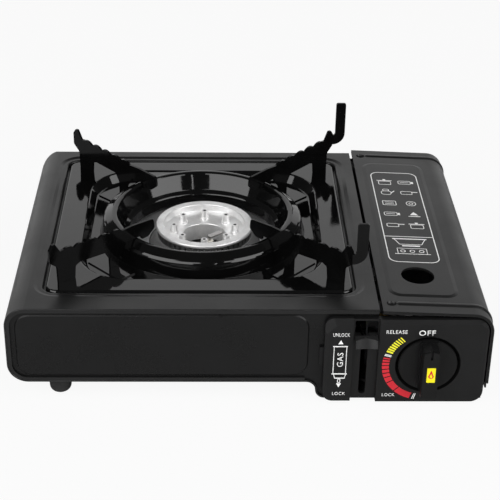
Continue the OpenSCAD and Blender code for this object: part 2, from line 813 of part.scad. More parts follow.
module electrode_insulator() placed(ceramic) {
    at_burner() translate([electrode_at[0], electrode_at[1], 0]) {
        difference() {
            union() {
                translate([0, 0, 36]) cylinder(h = 25, r = 3);
                translate([0, 0, 40]) cylinder(h = 3, r = 4.4);
            }
            translate([0, 0, 49.98]) cylinder(h = 20, r = 1.12);
        }
        // the clip that holds it to the burner's bracket
        translate([-1.4, -16.5, 40.8 - 1.22]) cube([2.8, 14, 1.2]);
    }
}

// The ignition wire runs from the insulator to the igniter, clipped along the floor
wire_r = 1.1;
wire_route = [
    [burner_x + 4, burner_y - 6, 36], [burner_x + 4, burner_y - 6, 31], [burner_x + 8, burner_y - 12, 25],
    [burner_x + 18, burner_y - 26, 21.5], [20, -52, 21], [44, -72, 20], [60, -86, 16], [68, -100, 12],
    [76, -110, 9.5], [86, -116, 8.2], [92.5, -117.4, 8], [96, -117.5, 9.4], [96, -117.5, 11.95]
];

function tangent(p, i) = unit(p[min(i + 1, len(p) - 1)] - p[max(i - 1, 0)]);
function mix(p, i, t) =
    let (a = p[max(i - 1, 0)], b = p[i], c = p[i + 1], d = p[min(i + 2, len(p) - 1)])
    0.5 * (2 * b + (c - a) * t + (2 * a - 5 * b + 4 * c - d) * t * t + (3 * b - a - 3 * c + d) * t * t * t);
function fine_route(p, n) = concat(
    [for (i = [0:len(p) - 2], k = [0:n - 1]) mix(p, i, k / n)], [p[len(p) - 1]]
);

// A tube along points, as rings joined side by side
module wire(p, r, sides) {
    rings = len(p);
    pts = [
        for (i = [0:rings - 1], k = [0:sides - 1])
            let (t = tangent(p, i), u = unit(cross(t, [0.3, 0.9, 0.31])), v = cross(t, u))
            p[i] + r * (cos(360 * k / sides) * u + sin(360 * k / sides) * v)
    ];
    walls = [
        for (i = [0:rings - 2], k = [0:sides - 1]) let (k2 = (k + 1) % sides)
            [i * sides + k, i * sides + k2, (i + 1) * sides + k2, (i + 1) * sides + k]
    ];
    ends = [[for (k = [sides - 1:-1:0]) k], [for (k = [0:sides - 1]) (rings - 1) * sides + k]];
    polyhedron(points = pts, faces = concat(walls, ends), convexity = 6);
}

module ignition_wire() placed(rubber) {
    wire(fine_route(wire_route, 4), wire_r, 8);
}

// ---------- Cartridge cover ----------

// The cover's outline seen from the front, grown by g and carried on to the left and
// downwards by reach
module cover_outline(g, reach = 0) {
    left = cover_edge_x - reach;
    rise = [sin(cover_fall), cos(cover_fall)];
    polygon([
        [left, cover_low - reach], [cover_x + g, cover_low - reach], [cover_x + g, cover_cz],
        [cover_cx, cover_cz], [cover_cx, cover_cz] + (cover_r + g) * rise,
        [left, lid_z(left) + g / cos(cover_fall)]
    ]);
    translate([cover_cx, cover_cz]) circle(cover_r + g);
}

// The length of the cover's sloping top, and its height at x
lid_end = (cover_cx - split_x) * cos(cover_fall) + (top_z - cover_cz) * sin(cover_fall);
function lid_z(x) = top_z - (x - split_x) * tan(cover_fall);

module cover_section(outer, inner) {
    difference() {
        cover_outline(outer);
        cover_outline(inner, 5);
    }
}

// Carries a shape drawn on a level sheet onto the cover's sloping top
module on_lid() {
    translate([split_x, 0, top_z]) rotate([0, cover_fall, 0]) children();
}

// A bead along the cover's skin, from x0 on the top round the corner and down to z0; its
// outline is given as [outwards, across] points
module cover_bead(y, x0, z0, line) {
    straight = [for (p = line) [p[0] - 0.03, p[1] * 0.98]];
    lap = 0.4;
    on_lid() side_plate(x0, lid_end + lap) translate([y, 0]) rotate(90) polygon(straight);
    translate([cover_cx, y, cover_cz]) rotate([90, 0, 0])
        rotate_extrude(angle = 90 - cover_fall) translate([cover_r, 0]) polygon(line);
    translate([cover_x, y, z0]) linear_extrude(cover_cz - z0 + lap) polygon(straight);
}

// A raised bead across the cover, rounded at its ends
module cover_rib_at(y) {
    x0 = 14;
    z0 = 26;
    half = [[0, cover_rib], [1, cover_rib - 0.1], [2, cover_rib / 2], [3.1, -0.2]];
    line = concat([for (p = half) [p[1], p[0]]], [for (i = [3:-1:1]) [half[i][1], -half[i][0]]]);
    cover_bead(y, x0, z0, line);
    on_lid() translate([x0 + 0.3, y, 0]) rotate(90) rib_end(half);
    translate([cover_x, y, z0 + 0.3]) rotate([0, 90, 0]) rotate(-90) rib_end(half);
}

module rib_end(half) {
    rotate_extrude(angle = 180) polygon(concat([[0, -0.2]], half));
}

// A low mound with sloping sides and rounded corners: its top's half sizes, corner radius,
// height and the width of its sides
module mound(hx, hy, r, h, w) {
    linear_extrude(h) soft_square(hx - 1, hy - 1, r - 1);
    swept(hx, hy, r) polygon([[-2, 0], [w, 0], [0, h], [-2, h]]);
}

module cartridge_cover() placed(black_paint) {
    dimple_r = 3.9;
    dimple_up = 1.7;
    dimples = [[8, -118], [8, 121]];
    hole = [31.2, -79];
    difference() {
        union() {
            front_plate(cover_front_y, cover_back_y) cover_section(0, -cover_t);
            // turned-down edges at the front and back, the front one with a rolled corner
            for (y = [cover_front_y, cover_back_y - cover_t])
                front_plate(y, y + cover_t) cover_section(0, -2.2);
            cover_bead(cover_front_y + 0.1, 1.3, cover_low,
                [for (a = [0:45:315]) [hem_r * cos(a) - hem_in, hem_r * sin(a)]]);
            block([cover_edge_x, cover_front_y, top_z - 2.7],
                [cover_edge_x + cover_t, cover_back_y, top_z - 0.6]);
            cover_rib_at(front_y + 9.4);
            cover_rib_at(back_y - 5);
            // the raised middle
            on_lid() translate([32.5, -0.2, -0.05]) mound(22.5, 105.2, 7, 0.65, 3);
            for (p = dimples) on_lid() intersection() {
                translate([p[0], p[1], dimple_up]) sphere(dimple_r + 1.1);
                block([p[0] - 9, p[1] - 9, -9], [p[0] + 9, p[1] + 9, -0.1]);
            }
        }
        for (p = dimples) on_lid() translate([p[0], p[1], dimple_up]) sphere(dimple_r);
        // the finger hole over the cartridge's collar
        on_lid() translate([hole[0], hole[1], -5]) cylinder(h = 10, r = 12);
        // the lower corners of the side stay between the body's ends
        block([cover_x - 10, cover_front_y - 1, 0], [body_w, front_y + 3.2, hinge_z + 6.5]);
        block([cover_x - 10, back_y - 1.7, 0], [body_w, cover_back_y + 1, hinge_z + 6.5]);
    }
    // ears that turn on the hinge pins
    for (s = [-1, 1])
        front_plate(s * (hinge_y + 0.7) - 0.6, s * (hinge_y + 0.7) + 0.6) difference() {
            union() {
                translate([hinge_x, hinge_z]) circle(hinge_r);
                translate([hinge_x, hinge_z]) square([cover_x - hinge_x - cover_t + eps, hinge_r + 4]);
            }
            translate([hinge_x, hinge_z]) circle(hinge_pin_r + 0.05);
        }
}

module cover_brackets() placed(zinc) {
    low = right_floor_z + sheet;
    for (s = [-1, 1]) {
        front_plate(s * (hinge_y - 0.9) - 0.6, s * (hinge_y - 0.9) + 0.6) difference() {
            union() {
                translate([hinge_x, hinge_z]) circle(hinge_r);
                translate([hinge_x - hinge_r, low]) square([1.8, hinge_z - low]);
            }
            translate([hinge_x, hinge_z]) circle(hinge_pin_r);
        }
        block([hinge_x - hinge_r - 4, s * (hinge_y - 0.9) - 0.6, low],
            [hinge_x - hinge_r + 0.1, s * (hinge_y - 0.9) + 0.6, low + 3]);
        block([hinge_x - hinge_r - 4, s * (hinge_y - 4.6) - 4, low],
            [hinge_x - hinge_r + 1.6, s * (hinge_y - 4.6) + 4, low + 1.2]);
    }
}

module cover_pins() placed(zinc) {
    for (s = [-1, 1]) {
        rod_y(hinge_x, hinge_z, s > 0 ? hinge_y - 2 : -hinge_y - 2.2, s > 0 ? hinge_y + 2.2 : -hinge_y + 2,
            hinge_pin_r - 0.005);
        rod_y(hinge_x, hinge_z, s > 0 ? hinge_y - 3 : -hinge_y + 1.6, s > 0 ? hinge_y - 1.6 : -hinge_y + 3, 2.4);
    }
}

// Soft bumpers on the bay wall, which the cover closes on
module cover_buffers() placed(rubber) {
    wall_x = split_x - 4.4 + sheet;
    for (y = [-70, 110]) block([wall_x + eps, y - 6, 68.6], [wall_x + 7, y + 6, top_z - 2.9]);
}

// ---------- Drip tray and arms ----------

function arm_dir(sx, sy) = atan2(sy * sin(arm_angle), sx * cos(arm_angle));

module at_arm(sx, sy) {
    at_tray() rotate(arm_dir(sx, sy)) children();
}

// A raised pad that an arm's inner leg stands on, taken in by d
module pad(d, low) {
    rotate([90, 0, 0]) linear_extrude(2 * (17.5 - d), center = true)
        polygon([[83 + d, low], [99 - d, low], [98 - d, low + 1], [84 + d, low + 1]]);
}

module drip_tray() placed(black_enamel) {
    t = tray_t;
    mid = t / 2;
    difference() {
        union() {
            at_rim() {
                // the flat rim, with a turned-down edge
                flat_plate(tray_z - t, tray_z) difference() {
                    soft_square(tray_w / 2 - 4, tray_d / 2 - 4, tray_r - 4);
                    translate(-rim_shift) soft_square(dish_x + 2.5, dish_y + 2.5, dish_r + 2.5);
                }
                swept(tray_w / 2, tray_d / 2, tray_r) polygon(sheet_line(soft_line([
                    [-4.5, tray_z - mid], [-mid, tray_z - mid, 1.4], [-mid, pocket_z + 0.02]
                ]), t));
            }
            at_tray() {
                // the slope down into the dish
                swept(dish_x, dish_y, dish_r) polygon(sheet_line(soft_line([
                    [3.5, tray_z - mid], [0, tray_z - mid, 2.2], [-5, dish_z - mid, 2.2], [-7.5, dish_z - mid]
                ]), t));
                flat_plate(dish_z - t, dish_z) difference() {
                    soft_square(dish_x - 6, dish_y - 6, dish_r - 6);
                    circle(79.6);
                }
                // the ring and the bowl, down to the burner's opening
                rotate_extrude() polygon(sheet_line(soft_line([
                    [80.4, dish_z - mid], [78.2, dish_z - mid, 0.9], [75.2, 80.4, 4.5],
                    [68.4, bead_z - mid, 3.5], [65.4, bead_z - mid, 2.5], [59.6, 72, 2],
                    [56.6, 69.2, 1.5], [55.4, 62.5]
                ]), t));
            }
            for (sx = [-1, 1], sy = [-1, 1]) at_arm(sx, sy) pad(0, pad_z - 1);
        }
        for (sx = [-1, 1], sy = [-1, 1]) at_arm(sx, sy) {
            pad(1.4, pad_z - 2);
            block([129 - slot_play, -arm_t / 2 - slot_play, 70], [135 + slot_play, arm_t / 2 + slot_play, 80]);
            block([86 - slot_play, -arm_t / 2 - slot_play, 60], [91 + slot_play, arm_t / 2 + slot_play, 75]);
        }
    }
}

// The serrated top edge: rounded teeth on a line that rises outwards
teeth = 5;
tooth = 11;
teeth_from = 80;
function tooth_line(s) = 96.2 + (s - teeth_from) * 0.062;
serration = [
    for (i = [0:teeth - 1], k = [0:5])
        let (s = teeth_from + tooth * (i + k / 6))
        [s, tooth_line(s) + 2.2 * pow(sin(180 * k / 6), 0.8), 0]
];

arm_line = concat(
    [[50.2, 95.4, 2.5], [70, 96.6, 4]],
    serration,
    [
        [teeth_from + teeth * tooth + 1.5, 100.4, 1.2], [140.8, 107.6, 0.6], [143.4, 107.4, 0.8],
        [146, 103.6, 1.5], [146, 94, 2.5], [139.6, 88.6, 3], [139.2, tray_z, 0.4], [135, tray_z, 0],
        [135, tray_z - 2.6, 0.4], [129, tray_z - 2.6, 0.4], [129, tray_z, 0], [124.4, tray_z, 0.4],
        [123.6, 84, 2.2], [119.5, 85.6, 1.2], [96.4, 83.8, 2.5], [92.6, 77.5, 2.5], [92.4, pad_z, 0.4],
        [91, pad_z, 0], [91, pad_z - 2.6, 0.4], [86, pad_z - 2.6, 0.4], [86, pad_z, 0], [84.6, pad_z, 0.4],
        [83.2, 77, 4], [78.6, 81.2, 2], [77.4, 85.5, 0.8], [62.6, 85.5, 0.5], [61.6, 82.4, 0.5],
        [55.4, 82.6, 3], [49.4, 87.6, 3]
    ]
);

module arm(sx, sy) {
    at_arm(sx, sy) rotate([90, 0, 0]) linear_extrude(arm_t, center = true) polygon(soft_loop(arm_line, 4));
}

// A pan stop: the arm's end turned across the stove and bent up into a strap
module pan_stop(sy, high) {
    end = [tray_x + 146 * cos(arm_angle), tray_y + sy * 146 * sin(arm_angle)];
    outer = 10.2;
    inner = 2.2;
    mid_z = 104.6;
    front_plate(end[1] - arm_t / 2, end[1] + arm_t / 2) translate([end[0], mid_z]) {
        difference() {
            circle(outer);
            circle(inner);
            translate([-outer - 1, -outer - 1]) square([outer + 1, 2 * outer + 2]);
            translate([-outer - 1, 0]) square([2 * outer + 2, outer + 1]);
        }
        translate([inner, -eps]) square([outer - inner, high - mid_z - 1.5]);
        translate([inner + 1.5, 0]) square([outer - inner - 3, high - mid_z]);
        for (x = [inner + 1.5, outer - 1.5]) translate([x, high - mid_z - 1.5]) circle(1.5);
    }
    // the fold between the arm and the strap
    translate([end[0], end[1], mid_z - outer]) cylinder(h = outer - inner, r = arm_t / 2 - 0.04);
}

module arm_front_left() placed(black_enamel) arm(-1, -1);
module arm_rear_left() placed(black_enamel) arm(-1, 1);

module arm_front_right() placed(black_enamel) {
    arm(1, -1);
    pan_stop(-1, front_post_z);
}

module arm_rear_right() placed(black_enamel) {
    arm(1, 1);
    pan_stop(1, rear_post_z);
}

// ---------- Feet and fasteners ----------

// A foot under the burner side: a tapered rubber post with a domed end
module tall_foot(x, y) {
    translate([x, y, 0]) rotate_extrude() polygon(concat(
        [[0, left_floor_z - 0.02], [8.6, left_floor_z - 0.02], [8.4, left_floor_z - 2]],
        [for (a = [0:15:75]) [3 + 4.8 * cos(a), 4.8 - 4.8 * sin(a)]],
        [[0, 0]]
    ));
}

module low_foot(x, y) {
    translate([x, y, 0]) cylinder(h = right_floor_z - 0.02, r1 = 6, r2 = 7);
}

foot_y = 113;
module foot_front_left() placed(rubber) tall_foot(-135.4, -foot_y);
module foot_rear_left() placed(rubber) tall_foot(-135.4, foot_y);
module foot_front_right() placed(rubber) low_foot(152, -foot_y - 3);
module foot_rear_right() placed(rubber) low_foot(152, foot_y + 3);

module screw_head(r, h) {
    difference() {
        cylinder(h = h, r = r);
        for (a = [0, 90]) rotate(a) translate([-r * 0.6, -r * 0.14, -1]) cube([r * 1.2, r * 0.28, 1.6]);
    }
}

module base_screws() placed(zinc) {
    for (x = [-118, -20, 30], y = [-119, 119])
        translate([x, y, left_floor_z - 1.6]) screw_head(3, 1.58);
}

module panel_screws() placed(zinc) {
    for (p = [[56, 66], [157, 63]])
        rod_y(p[0], p[1], front_y + front_in + sheet + 0.02, front_y + front_in + sheet + 2, 3);
}

module regulator_screws() placed(zinc) {
    for (a = [30, 150, 270]) translate([can_x + 14 * cos(a), -107 + 14 * sin(a), 60.42])
        cylinder(h = 1.6, r = 2.2);
}

// ---------- Drawing ----------

body_shell();
base_plate();
front_panel();
bay_wall();
cartridge_cradle();
heat_shield();
control_panel();
knob();
valve_spindle();
ignition_cam();
igniter_body();
igniter_plunger();
lever_tab();
lever_plate();
lever_pin();
collar_fork();
fork_guide();
regulator_body();
regulator_cap();
seat_seal();
gas_pipe();
gas_jet();
mixing_tube();
burner_base();
burner_ring();
burner_head();
burner_bracket();
electrode();
electrode_insulator();
ignition_wire();
cartridge_cover();
cover_brackets();
cover_pins();
cover_buffers();
drip_tray();
arm_front_left();
arm_rear_left();
arm_front_right();
arm_rear_right();
foot_front_left();
foot_rear_left();
foot_front_right();
foot_rear_right();
base_screws();
panel_screws();
regulator_screws();
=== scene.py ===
import json
import math
import bpy
from mathutils import Matrix, Vector


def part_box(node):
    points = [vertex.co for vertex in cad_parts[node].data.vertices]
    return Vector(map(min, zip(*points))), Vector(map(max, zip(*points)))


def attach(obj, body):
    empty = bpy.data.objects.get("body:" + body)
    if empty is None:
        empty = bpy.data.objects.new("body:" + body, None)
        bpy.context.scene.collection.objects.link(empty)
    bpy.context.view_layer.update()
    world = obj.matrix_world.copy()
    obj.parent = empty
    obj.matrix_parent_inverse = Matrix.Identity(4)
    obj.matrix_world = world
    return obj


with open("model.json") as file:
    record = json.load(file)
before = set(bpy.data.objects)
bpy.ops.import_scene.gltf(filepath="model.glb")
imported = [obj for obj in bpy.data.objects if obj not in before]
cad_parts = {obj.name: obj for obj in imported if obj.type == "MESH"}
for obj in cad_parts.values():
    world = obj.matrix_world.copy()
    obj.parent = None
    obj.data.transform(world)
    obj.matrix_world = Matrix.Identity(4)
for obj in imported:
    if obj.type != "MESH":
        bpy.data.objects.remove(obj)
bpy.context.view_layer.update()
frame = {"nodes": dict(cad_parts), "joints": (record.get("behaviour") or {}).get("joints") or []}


# ---------- Measures, in metres ----------

MM = 0.001


def mm(x, y, z):
    return Vector((x * MM, y * MM, z * MM))


burner_low, burner_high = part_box("burner_head")
burner = Vector(((burner_low[0] + burner_high[0]) / 2, (burner_low[1] + burner_high[1]) / 2, 0))
panel_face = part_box("control_panel")[0][1]
knob_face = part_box("knob")[0][1]
knob_axis = next(Vector(j["pos_m"]) for j in frame["joints"] if j["name"] == "knob_turn")
WELL_RADIUS = 23.1 * MM        # of the round recess in the panel that the knob turns in
LID_EDGE = mm(90, 0, 76)       # the left edge of the cover's top
LID_FALL = math.radians(2.2)   # how far the top falls to the right
PLATFORM = 0.6 * MM            # height of the raised middle of the top
INK = 0.05 * MM                # thickness of a print


# ---------- Camera and lamps ----------

CAMERA_PLACE = mm(-26.24, -924.55, 572.88)
CAMERA_TURN = (29.22, 1.76, 1.063)   # degrees down, to the right, and of roll
SENSOR_WIDTH = 36                    # mm
PICTURE_WIDTH = 500                  # pixels
FOCAL_LENGTH = 1374.2                # in the same pixels
LAMP_DISTANCE = 1.8


def set_camera():
    pitch, yaw, roll = (math.radians(angle) for angle in CAMERA_TURN)
    ahead = math.cos(pitch)
    forward = Vector((math.sin(yaw) * ahead, math.cos(yaw) * ahead, -math.sin(pitch)))
    level = Vector((math.cos(yaw), -math.sin(yaw), 0))
    upright = level.cross(forward)
    right = level * math.cos(roll) + upright * math.sin(roll)
    up = upright * math.cos(roll) - level * math.sin(roll)
    data = bpy.data.cameras.new("camera")
    data.sensor_width = SENSOR_WIDTH
    data.lens = SENSOR_WIDTH * FOCAL_LENGTH / PICTURE_WIDTH
    data.clip_start = 0.05
    camera = bpy.data.objects.new("camera", data)
    bpy.context.collection.objects.link(camera)
    turn = Matrix((right, up, -forward)).transposed()
    camera.matrix_world = Matrix.Translation(CAMERA_PLACE) @ turn.to_4x4()
    bpy.context.scene.camera = camera


def softbox(name, azimuth, elevation, width, height, power):
    """A lamp aimed at the stove from an angle to the right of the front and one above the table."""
    turn, lift = math.radians(azimuth), math.radians(elevation)
    across = math.cos(lift)
    aim = Vector((math.sin(turn) * across, -math.cos(turn) * across, math.sin(lift)))
    data = bpy.data.lights.new(name, "AREA")
    data.shape = "RECTANGLE"
    data.size = width
    data.size_y = height
    data.energy = power
    lamp = bpy.data.objects.new(name, data)
    bpy.context.collection.objects.link(lamp)
    lamp.location = aim * LAMP_DISTANCE
    lamp.rotation_euler = (-aim).to_track_quat("-Z", "Y").to_euler()


# ---------- Shader maths ----------

class Value:
    """A shader socket that takes part in ordinary sums."""

    def __init__(self, finish, socket):
        self.finish = finish
        self.socket = socket

    def _sum(self, operation, first, second):
        return self.finish.node("ShaderNodeMath", {"operation": operation}, {0: first, 1: second})

    def __add__(self, other):
        return self._sum("ADD", self, other)

    def __mul__(self, other):
        return self._sum("MULTIPLY", self, other)

    def __gt__(self, other):
        return self._sum("GREATER_THAN", self, other)


class Finish:
    """A material being made, with its main shader at hand."""

    def __init__(self, name, **constants):
        self.material = bpy.data.materials.new(name)
        self.material.use_nodes = True
        self.tree = self.material.node_tree
        self.shader = self.tree.nodes["Principled BSDF"]
        for socket, value in constants.items():
            self.shader.inputs[socket.replace("_", " ")].default_value = value
        self.place = self.node("ShaderNodeTexCoord", out="Object")

    def node(self, kind, settings=None, sockets=None, out=0):
        made = self.tree.nodes.new(kind)
        for key, value in (settings or {}).items():
            setattr(made, key, value)
        for key, value in (sockets or {}).items():
            self.feed(made.inputs[key], value)
        return Value(self, made.outputs[out])

    def feed(self, socket, value):
        """Links a Value to a socket, or sets the socket to a constant."""
        if isinstance(value, Value):
            self.tree.links.new(value.socket, socket)
        else:
            socket.default_value = value

    def set(self, name, value):
        self.feed(self.shader.inputs[name], value)

    def cloud(self, scale, detail=3.0, rough=0.5, at=None):
        """Soft noise, with its scale in waves per metre."""
        return self.node("ShaderNodeTexNoise", {"noise_dimensions": "3D"},
                         {"Vector": at or self.place, "Scale": scale, "Detail": detail,
                          "Roughness": rough}, out="Fac")

    def grains(self, scale):
        """Small round cells, with their scale in cells per metre."""
        return self.node("ShaderNodeTexVoronoi", {"feature": "F1"},
                         {"Vector": self.place, "Scale": scale}, out="Distance")

    def blend(self, factor, first, second):
        """The first colour where the factor is 0, and the second where it is 1. The node's
        colours are its inputs 6 and 7, and its output 2."""
        return self.node("ShaderNodeMix", {"data_type": "RGBA"},
                         {0: factor, 6: first, 7: second}, out=2)

    def spread(self, value, low, high, to_low=0.0, to_high=1.0):
        """Stretches what lies between low and high to another range, and stops at its ends."""
        return self.node("ShaderNodeMapRange", {"clamp": True},
                         {"Value": value, "From Min": low, "From Max": high,
                          "To Min": to_low, "To Max": to_high})

    def centred(self, centre, stretch=(1, 1, 1)):
        """Places measured from a centre, with each axis stretched."""
        shift = tuple(-c * s for c, s in zip(centre, stretch))
        return self.node("ShaderNodeMapping", None,
                         {"Vector": self.place, "Location": shift, "Scale": stretch})

    def relief(self, height, depth, strength, under=None):
        """A fine relief on the surface, on top of another where one is given."""
        sockets = {"Height": height, "Distance": depth, "Strength": strength}
        if under:
            sockets["Normal"] = under
        return self.node("ShaderNodeBump", None, sockets)


def tinted(colour, level):
    return (*(part * level for part in colour), 1)


def grey(level, tint=(1, 1, 1)):
    return tinted(tint, level)


# ---------- Finishes ----------
#
# level is how light a grey is, gloss is the roughness (0 is a mirror), and sheen is how strongly
# a surface that isn't metal mirrors.

def satin_black(name, level=0.009, gloss=0.34, sheen=0.38):
    """Baked satin paint on sheet steel: a faint orange peel, with soft handling marks."""
    f = Finish(name, Specular_IOR_Level=sheen)
    marks = f.spread(f.cloud(22, 5, 0.62), 0.35, 0.72)
    specks = f.spread(f.cloud(2600, 2, 0.5), 0.62, 0.75)
    tone = f.blend(marks, grey(level * 0.86), grey(level * 1.14, (1, 1, 1.02)))
    f.set("Base Color", f.blend(specks * 0.25, tone, grey(level * 2.2)))
    wear = marks * 0.7 + f.cloud(420, 2) * 0.3
    f.set("Roughness", f.spread(wear, 0.2, 0.8, gloss - 0.05, gloss + 0.06))
    peel = f.relief(f.cloud(1150, 3, 0.55), depth=0.05 * MM, strength=0.35)
    f.set("Normal", f.relief(f.cloud(60, 1), depth=0.4 * MM, strength=0.1, under=peel))
    return f.material


def gloss_enamel(name, level=0.002, gloss=0.05, sheen=0.5):
    """Vitreous enamel: deep gloss with a slow ripple and a few fine pinholes."""
    f = Finish(name, Specular_IOR_Level=sheen)
    haze = f.spread(f.cloud(35, 4, 0.6), 0.3, 0.75)
    f.set("Base Color", f.blend(haze, grey(level), grey(level * 1.7, (1, 1, 1.04))))
    smears = haze + f.cloud(700, 2) * 0.4
    f.set("Roughness", f.spread(smears, 0.2, 1.2, gloss - 0.02, gloss + 0.06))
    ripple = f.relief(f.cloud(70, 3, 0.45), depth=0.35 * MM, strength=0.2)
    pinholes = f.spread(f.grains(420), 0.0, 0.08) * 0.5 + f.cloud(900, 2) * 0.2
    f.set("Normal", f.relief(pinholes, depth=0.04 * MM, strength=0.2, under=ripple))
    return f.material


def moulded_plastic(name, level=0.007, gloss=0.36, grain=3200, sheen=0.26, well=None):
    """Plastic from a spark-eroded mould. A well is a centre and the radius of a round recess about
    the Y axis; inside it the colour is painted shade, near black, and the surface is made dull."""
    f = Finish(name, Specular_IOR_Level=sheen)
    shade = f.spread(f.cloud(45, 4, 0.55), 0.3, 0.7)
    colour = f.blend(shade, grey(level * 0.9), grey(level * 1.12, (1, 1, 1.03)))
    roughness = f.spread(shade, 0, 1, gloss - 0.03, gloss + 0.05)
    if well:
        centre, radius = well
        from_axis = f.node("ShaderNodeVectorMath", {"operation": "LENGTH"},
                           {0: f.centred((centre.x, 0, centre.z), (1, 0, 1))}, out="Value")
        outside = from_axis > radius
        # painted shade: near black inside the well, standing in for the shade in the recess round
        # the knob
        colour = f.blend(outside, grey(0.0005), colour)
        roughness = f.spread(outside, 0, 1, 0.95, 0) + roughness
    f.set("Base Color", colour)
    f.set("Roughness", roughness)
    texture = f.grains(grain) + f.cloud(grain * 0.6, 2) * 0.5
    f.set("Normal", f.relief(texture, depth=0.035 * MM, strength=0.4))
    return f.material


def plain_metal(name, colour, gloss, brushed=(1, 1, 1), streak=0.35, metal=1.0):
    """Sheet or turned metal with a little tarnish and fine streaks, which run along the axis
    that brushed stretches least."""
    f = Finish(name, Metallic=metal)
    streaks = f.cloud(900, 4, 0.6, at=f.centred((0, 0, 0), brushed))
    dull = f.spread(f.cloud(60, 5, 0.6), 0.35, 0.75)
    tone = f.blend(dull * 0.5, tinted(colour, 1), tinted(colour, 0.72))
    f.set("Base Color", f.blend(f.spread(streaks, 0.35, 0.65) * streak, tone, tinted(colour, 0.6)))
    f.set("Roughness", f.spread(streaks + dull * 0.5, 0.3, 1.1, gloss - 0.06, gloss + 0.12))
    f.set("Normal", f.relief(streaks, depth=0.03 * MM, strength=0.35))
    return f.material


def cast_alloy(name, level, gloss, metal=1.0, turned=True):
    """Die-cast aluminium: a fine sand grain, and turning rings about the burner's middle."""
    f = Finish(name, Metallic=metal)
    grain = f.cloud(2100, 4, 0.6)
    stain = f.spread(f.cloud(110, 5, 0.62), 0.35, 0.72)
    tone = f.blend(stain, grey(level), grey(level * 0.88, (1, 0.99, 0.98)))
    f.set("Base Color", f.blend(f.spread(grain, 0.42, 0.6) * 0.22, tone, grey(level * 0.62)))
    f.set("Roughness", f.spread(grain + stain * 0.4, 0.4, 1.0, gloss - 0.06, gloss + 0.14))
    relief = f.relief(grain, depth=0.06 * MM, strength=0.5)
    if turned:
        rings = f.node("ShaderNodeTexWave", {"wave_type": "RINGS", "rings_direction": "Z"},
                       {"Vector": f.centred(burner), "Scale": 620, "Distortion": 0.6, "Detail": 2})
        relief = f.relief(rings, depth=0.02 * MM, strength=0.3, under=relief)
    f.set("Normal", relief)
    return f.material


def soft_rubber(name):
    """Black rubber with a little dust on it."""
    f = Finish(name, Specular_IOR_Level=0.35)
    dust = f.spread(f.cloud(160, 5, 0.65), 0.45, 0.8)
    f.set("Base Color", f.blend(dust, grey(0.016), grey(0.04, (1, 0.98, 0.95))))
    f.set("Roughness", f.spread(dust, 0, 1, 0.6, 0.85))
    f.set("Normal", f.relief(f.cloud(1800, 3), depth=0.05 * MM, strength=0.5))
    return f.material


def glazed_ceramic(name):
    """Off-white glaze with brown specks."""
    f = Finish(name, Specular_IOR_Level=0.5)
    specks = f.spread(f.cloud(900, 3), 0.58, 0.75)
    f.set("Base Color", f.blend(specks, (0.84, 0.81, 0.74, 1), (0.6, 0.55, 0.47, 1)))
    f.set("Roughness", f.spread(specks, 0, 1, 0.22, 0.4))
    f.set("Normal", f.relief(f.cloud(500, 2), depth=0.03 * MM, strength=0.3))
    return f.material


def flexible_sleeve(name):
    """The soft dark sleeve of a wire, slightly rubbed."""
    f = Finish(name, Specular_IOR_Level=0.4)
    wear = f.spread(f.cloud(300, 4), 0.4, 0.75)
    f.set("Base Color", f.blend(wear, (0.02, 0.02, 0.021, 1), (0.045, 0.043, 0.042, 1)))
    f.set("Roughness", f.spread(wear, 0, 1, 0.42, 0.58))
    f.set("Normal", f.relief(f.cloud(1600, 2), depth=0.03 * MM, strength=0.3))
    return f.material


def screen_ink(name, colour, gloss=0.5):
    """Screen-printed ink: slightly uneven, with a few thin spots."""
    f = Finish(name, Specular_IOR_Level=0.4)
    thin = f.spread(f.cloud(1500, 3, 0.6), 0.6, 0.8)
    f.set("Base Color", f.blend(thin, tinted(colour, 1), tinted(colour, 0.82)))
    f.set("Roughness", f.spread(thin, 0, 1, gloss - 0.05, gloss + 0.08))
    f.set("Normal", f.relief(f.cloud(2500, 2), depth=0.01 * MM, strength=0.3))
    return f.material


def assign(material, *nodes):
    """Gives a material to CAD nodes."""
    for node in nodes:
        slots = frame["nodes"][node].material_slots
        if not slots:
            frame["nodes"][node].data.materials.append(material)
        for slot in slots:
            slot.material = material


assign(satin_black("body_paint"), "body_shell", "base_plate")
assign(satin_black("front_paint", level=0.007, gloss=0.3, sheen=0.22), "front_panel")
assign(satin_black("cover_paint", sheen=0.3), "cartridge_cover")
assign(gloss_enamel("tray_enamel"), "drip_tray")
assign(gloss_enamel("arm_enamel", gloss=0.1, sheen=0.17),
       "arm_front_left", "arm_rear_left", "arm_front_right", "arm_rear_right")
# the panel's material paints shade into the well round the knob
assign(moulded_plastic("panel_plastic", well=(knob_axis, WELL_RADIUS)), "control_panel")
assign(moulded_plastic("knob_plastic", level=0.006, gloss=0.34, sheen=0.2), "knob")
assign(moulded_plastic("lever_plastic", level=0.009, gloss=0.34, sheen=0.5),
       "lever_tab", "igniter_body")
assign(cast_alloy("burner_alloy", level=0.96, gloss=0.36, metal=0.7), "burner_head")
assign(cast_alloy("skirt_alloy", level=0.6, gloss=0.4, metal=0.7), "burner_base")
assign(cast_alloy("port_alloy", level=0.3, gloss=0.42, turned=False), "burner_ring")
assign(cast_alloy("mixing_alloy", level=0.62, gloss=0.4, turned=False), "mixing_tube")
# painted shade: the regulator's alloy is darkened to stand in for the shade under the cover's front
# edge
assign(cast_alloy("regulator_alloy_painted_shade", level=0.3, gloss=0.55, turned=False),
       "regulator_body", "regulator_cap")
assign(plain_metal("bright_sheet", (0.96, 0.96, 0.97), gloss=0.3, brushed=(1, 14, 14), streak=0.1,
                   metal=0.8), "heat_shield")
assign(plain_metal("zinc_sheet", (0.62, 0.63, 0.65), gloss=0.36, brushed=(1, 8, 8)),
       "bay_wall", "cartridge_cradle", "burner_bracket", "fork_guide", "collar_fork",
       "cover_brackets", "cover_pins", "base_screws", "panel_screws", "regulator_screws")
assign(satin_black("lever_paint", level=0.01), "lever_plate", "lever_pin")
